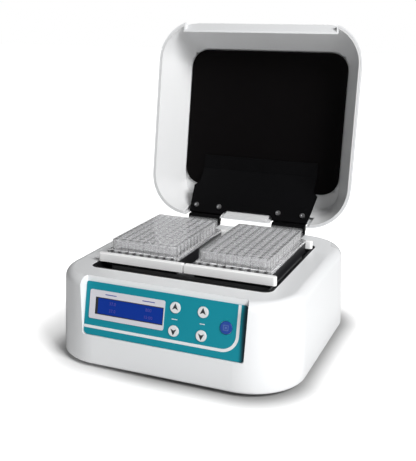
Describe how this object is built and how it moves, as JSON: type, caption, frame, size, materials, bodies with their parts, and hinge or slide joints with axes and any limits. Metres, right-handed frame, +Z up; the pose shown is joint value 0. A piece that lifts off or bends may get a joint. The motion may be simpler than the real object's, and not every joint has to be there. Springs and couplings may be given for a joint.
{
  "type": "thermal mixer",
  "caption": "Benchtop thermal mixer with a hinged hood, a heated orbiting platform holding clear microplates, and a sloped control panel on a rounded white casing.",
  "frame": {"origin": "bottom centre of the open machine's bounding box, on the bench under the feet", "axes": "+Z up, the control panel faces -Y, +X to the right when seen from the front"},
  "size_m": [0.2712, 0.3383, 0.3466],
  "materials": {
    "shell_white": "gloss white moulding",
    "liner_white": "satin white moulding",
    "panel_black": "black coated plate",
    "bracket_black": "satin black coated sheet",
    "well_dark": "dark grey moulding",
    "block_dark": "black anodised",
    "strip_grey": "light grey coated bar",
    "clear_plate": "clear moulded polystyrene",
    "teal_panel": "printed film",
    "bezel_grey": "pale grey frame",
    "display_blue": "backlit liquid crystal",
    "window_clear": "clear pane",
    "key_white": "white key",
    "key_blue": "blue key",
    "rubber_dark": "dark rubber",
    "steel": "plain steel",
    "steel_dark": "dark steel",
    "brass_part": "turned brass",
    "board_green": "circuit board",
    "cage_grey": "folded cage",
    "heater_orange": "silicone heater",
    "foam_grey": "closed-cell foam",
    "black_plastic": "black moulding"
  },
  "bodies": {
    "base": {"base_housing": "shell_white", "bottom_cover": "shell_white", "feet": "rubber_dark", "cover_screws": "steel", "well_liner": "well_dark", "well_bezel": "well_dark", "front_panel": "teal_panel", "display_bezel": "bezel_grey", "display_window": "window_clear", "display_module": "display_blue", "control_board": "board_green", "drive_posts": "steel", "drive_plate": "cage_grey", "motor": "steel_dark", "idler_lower_bearings": "steel", "board_standoffs": "brass_part", "main_board": "board_green", "power_supply": "cage_grey", "inlet_socket": "black_plastic", "inlet_pins": "brass_part", "switch_frame": "black_plastic", "fuse_holder": "black_plastic", "hinge_mounts": "bracket_black", "mount_screws": "steel", "hinge_pins": "steel"},
    "lid": {"lid_cover": "shell_white", "lid_liner": "liner_white", "lid_panel": "panel_black", "lid_heater": "heater_orange", "lid_insulation": "foam_grey", "hinge_bracket": "bracket_black", "hinge_leaves": "bracket_black", "hinge_screws": "steel"},
    "crank": {"drive_spindle": "steel", "drive_crank": "steel", "counterweight": "steel_dark"},
    "platform": {"carrier": "cage_grey", "insulation_pad": "foam_grey", "heater_mats": "heater_orange", "block_sensors": "steel", "block_left": "block_dark", "block_right": "block_dark", "block_screws": "steel", "end_strips": "strip_grey", "platform_bearing": "steel", "idler_upper_bearings": "steel"},
    "idler_front_left": {"idler_front_left": "steel"},
    "idler_front_right": {"idler_front_right": "steel"},
    "idler_rear_left": {"idler_rear_left": "steel"},
    "idler_rear_right": {"idler_rear_right": "steel"},
    "plate_left": {"plate_left": "clear_plate"},
    "plate_lid_left": {"plate_lid_left": "clear_plate"},
    "plate_right": {"plate_right": "clear_plate"},
    "plate_lid_right": {"plate_lid_right": "clear_plate"},
    "key_temperature_down": {"key_temperature_down": "key_white"},
    "key_temperature_up": {"key_temperature_up": "key_white"},
    "key_speed_down": {"key_speed_down": "key_white"},
    "key_speed_up": {"key_speed_up": "key_white"},
    "key_run": {"key_run": "key_blue"},
    "power_rocker": {"power_rocker": "black_plastic"}
  },
  "joints": [
    {"name": "lid_hinge", "type": "hinge", "parent": "base", "child": "lid", "pos_m": [0, 0.0824, 0.1035], "axis": [1, 0, 0], "range_deg": [0, 98.8]},
    {"name": "crank_spin", "type": "hinge", "parent": "base", "child": "crank", "pos_m": [0, -0.0411, 0.06], "axis": [0, 0, 1], "continuous": true},
    {"name": "platform_orbit", "type": "hinge", "parent": "crank", "child": "platform", "pos_m": [0, -0.0396, 0.075], "axis": [0, 0, 1], "continuous": true},
    {"name": "idler_front_left_spin", "type": "hinge", "parent": "base", "child": "idler_front_left", "pos_m": [-0.074, -0.0781, 0.054], "axis": [0, 0, 1], "continuous": true},
    {"name": "idler_rear_left_spin", "type": "hinge", "parent": "base", "child": "idler_rear_left", "pos_m": [-0.074, -0.0041, 0.054], "axis": [0, 0, 1], "continuous": true},
    {"name": "idler_front_right_spin", "type": "hinge", "parent": "base", "child": "idler_front_right", "pos_m": [0.074, -0.0781, 0.054], "axis": [0, 0, 1], "continuous": true},
    {"name": "idler_rear_right_spin", "type": "hinge", "parent": "base", "child": "idler_rear_right", "pos_m": [0.074, -0.0041, 0.054], "axis": [0, 0, 1], "continuous": true},
    {"name": "plate_left_lift", "type": "slide", "parent": "platform", "child": "plate_left", "axis": [0, 0, 1], "range_m": [0, 0.06]},
    {"name": "plate_lid_left_lift", "type": "slide", "parent": "plate_left", "child": "plate_lid_left", "axis": [0, 0, 1], "range_m": [0, 0.04]},
    {"name": "plate_right_lift", "type": "slide", "parent": "platform", "child": "plate_right", "axis": [0, 0, 1], "range_m": [0, 0.06]},
    {"name": "plate_lid_right_lift", "type": "slide", "parent": "plate_right", "child": "plate_lid_right", "axis": [0, 0, 1], "range_m": [0, 0.04]},
    {"name": "key_temperature_down_press", "type": "slide", "parent": "base", "child": "key_temperature_down", "axis": [0, 0.9789, -0.2045], "range_m": [0, 0.0005], "stiffness_N_per_m": 3000},
    {"name": "key_temperature_up_press", "type": "slide", "parent": "base", "child": "key_temperature_up", "axis": [0, 0.9789, -0.2045], "range_m": [0, 0.0005], "stiffness_N_per_m": 3000},
    {"name": "key_speed_down_press", "type": "slide", "parent": "base", "child": "key_speed_down", "axis": [0, 0.9789, -0.2045], "range_m": [0, 0.0005], "stiffness_N_per_m": 3000},
    {"name": "key_speed_up_press", "type": "slide", "parent": "base", "child": "key_speed_up", "axis": [0, 0.9789, -0.2045], "range_m": [0, 0.0005], "stiffness_N_per_m": 3000},
    {"name": "key_run_press", "type": "slide", "parent": "base", "child": "key_run", "axis": [0, 0.9789, -0.2045], "range_m": [0, 0.0005], "stiffness_N_per_m": 3000},
    {"name": "power_rocker_tilt", "type": "hinge", "parent": "base", "child": "power_rocker", "pos_m": [0.014, 0.09289, 0.034], "axis": [1, 0, 0], "range_deg": [0, 18]}
  ],
  "couplings": [
    {"joint": "platform_orbit", "follows": "crank_spin", "ratio": -1},
    {"joint": "idler_front_left_spin", "follows": "crank_spin", "ratio": 1},
    {"joint": "idler_front_right_spin", "follows": "crank_spin", "ratio": 1},
    {"joint": "idler_rear_left_spin", "follows": "crank_spin", "ratio": 1},
    {"joint": "idler_rear_right_spin", "follows": "crank_spin", "ratio": 1}
  ]
}
